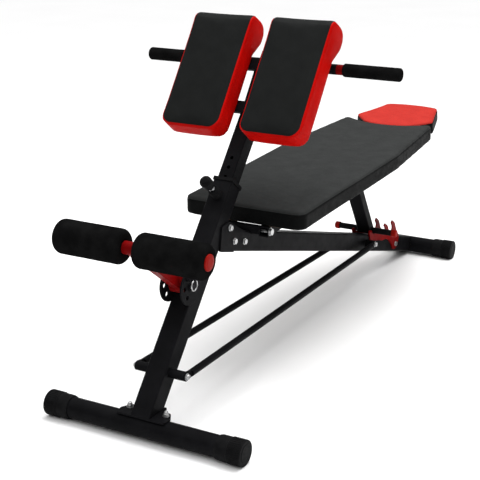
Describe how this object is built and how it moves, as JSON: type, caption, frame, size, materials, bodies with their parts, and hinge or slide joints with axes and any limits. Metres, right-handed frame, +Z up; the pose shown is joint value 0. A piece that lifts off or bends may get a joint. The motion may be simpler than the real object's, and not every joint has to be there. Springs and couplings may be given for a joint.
{
  "type": "decline sit-up bench",
  "caption": "Decline sit-up bench: leaning post with sliding thigh pads and handlebar, swinging ankle rollers, and a long back pad propped by a strut in a hooked rack.",
  "frame": {"origin": "on the floor under the middle of the bench's length and width", "axes": "+X to the right of someone facing the thigh pads from the front, +Y from the front foot to the rear foot, +Z up"},
  "size_m": [0.692, 1.6388, 0.8749],
  "materials": {
    "black_frame": "satin powder coat",
    "red_paint": "satin powder coat",
    "zinc": "bright zinc plate",
    "black_steel": "black oxide",
    "black_plastic": "moulded, fine texture",
    "red_plastic": "moulded, smooth",
    "black_foam": "closed-cell foam",
    "black_cover": "grained vinyl cover",
    "red_cover": "grained vinyl cover",
    "board": "stained plywood"
  },
  "bodies": {
    "stand": {"front_foot_tube": "black_frame", "foot_cap_front_left": "black_plastic", "foot_cap_front_right": "black_plastic", "foot_saddle": "black_frame", "saddle_bolts": "zinc", "lower_post": "black_frame", "guide_bush": "black_plastic", "knob_boss": "black_plastic", "sector_plate_left": "black_frame", "sector_plate_right": "black_frame", "arm_pivot_bolt": "black_steel", "brace_crossbar_front": "black_frame", "brace_crossbar_rear": "black_frame", "brace_rod_left": "black_frame", "brace_rod_right": "black_frame", "brace_bolts": "zinc", "main_beam": "black_frame", "post_bracket_left": "black_frame", "post_bracket_right": "black_frame", "beam_bolts": "zinc", "rear_foot_tube": "black_frame", "foot_cap_rear_left": "black_plastic", "foot_cap_rear_right": "black_plastic", "pad_pivot_tube": "black_frame", "rack_left": "red_paint", "rack_right": "red_paint"},
    "upper_post": {"upper_post": "black_frame", "pad_crossbars": "black_frame", "pad_carrier": "black_frame", "thigh_board_left": "board", "thigh_board_right": "board", "thigh_pad_left": "black_cover", "thigh_pad_right": "black_cover", "thigh_pad_screws": "zinc", "handlebar": "black_frame", "handle_grip_left": "black_foam", "handle_grip_right": "black_foam"},
    "height_knob": {"height_knob": "black_plastic", "knob_pin": "zinc"},
    "roller_arm": {"roller_arm": "red_paint", "roller_tube": "black_frame", "roller_cap_left": "red_plastic", "roller_cap_right": "red_plastic"},
    "foam_roller_left": {"foam_roller_left": "black_foam"},
    "foam_roller_right": {"foam_roller_right": "black_foam"},
    "lock_pin": {"lock_pin": "black_steel", "pull_ring": "zinc"},
    "backrest": {"pad_rail_left": "black_frame", "pad_rail_right": "black_frame", "rail_crossbars": "black_frame", "back_board": "board", "back_pad": "black_cover", "head_board": "board", "head_pad": "red_cover", "pad_pivot_bolt": "zinc", "strut_pivot_pin": "zinc"},
    "strut": {"support_strut": "black_frame", "strut_bar": "black_frame", "bar_sleeves": "black_plastic", "bar_caps": "red_plastic"}
  },
  "joints": [
    {"name": "height_slide", "type": "slide", "parent": "stand", "child": "upper_post", "axis": [0, 0.6293, 0.7771], "range_m": [-0.1, 0.075]},
    {"name": "knob_pull", "type": "slide", "parent": "stand", "child": "height_knob", "axis": [0, -0.7771, 0.6293], "range_m": [-0.007, 0]},
    {"name": "arm_swing", "type": "hinge", "parent": "stand", "child": "roller_arm", "pos_m": [0, -0.5947, 0.312], "axis": [1, 0, 0], "range_deg": [-57, 57]},
    {"name": "roller_spin_left", "type": "hinge", "parent": "roller_arm", "child": "foam_roller_left", "pos_m": [0, -0.7803, 0.452], "axis": [1, 0, 0], "continuous": true},
    {"name": "roller_spin_right", "type": "hinge", "parent": "roller_arm", "child": "foam_roller_right", "pos_m": [0, -0.7803, 0.452], "axis": [1, 0, 0], "continuous": true},
    {"name": "lock_pin_pull", "type": "slide", "parent": "stand", "child": "lock_pin", "axis": [1, 0, 0], "range_m": [-0.007, 0]},
    {"name": "back_tilt", "type": "hinge", "parent": "stand", "child": "backrest", "pos_m": [0, -0.3047, 0.3725], "axis": [1, 0, 0], "range_deg": [0, 30]},
    {"name": "strut_swing", "type": "hinge", "parent": "backrest", "child": "strut", "pos_m": [0, 0.3083, 0.401], "axis": [1, 0, 0], "range_deg": [-42.5, 1]}
  ],
  "couplings": [
    {"joint": "strut_swing", "follows": "back_tilt", "ratio": -1.4}
  ]
}
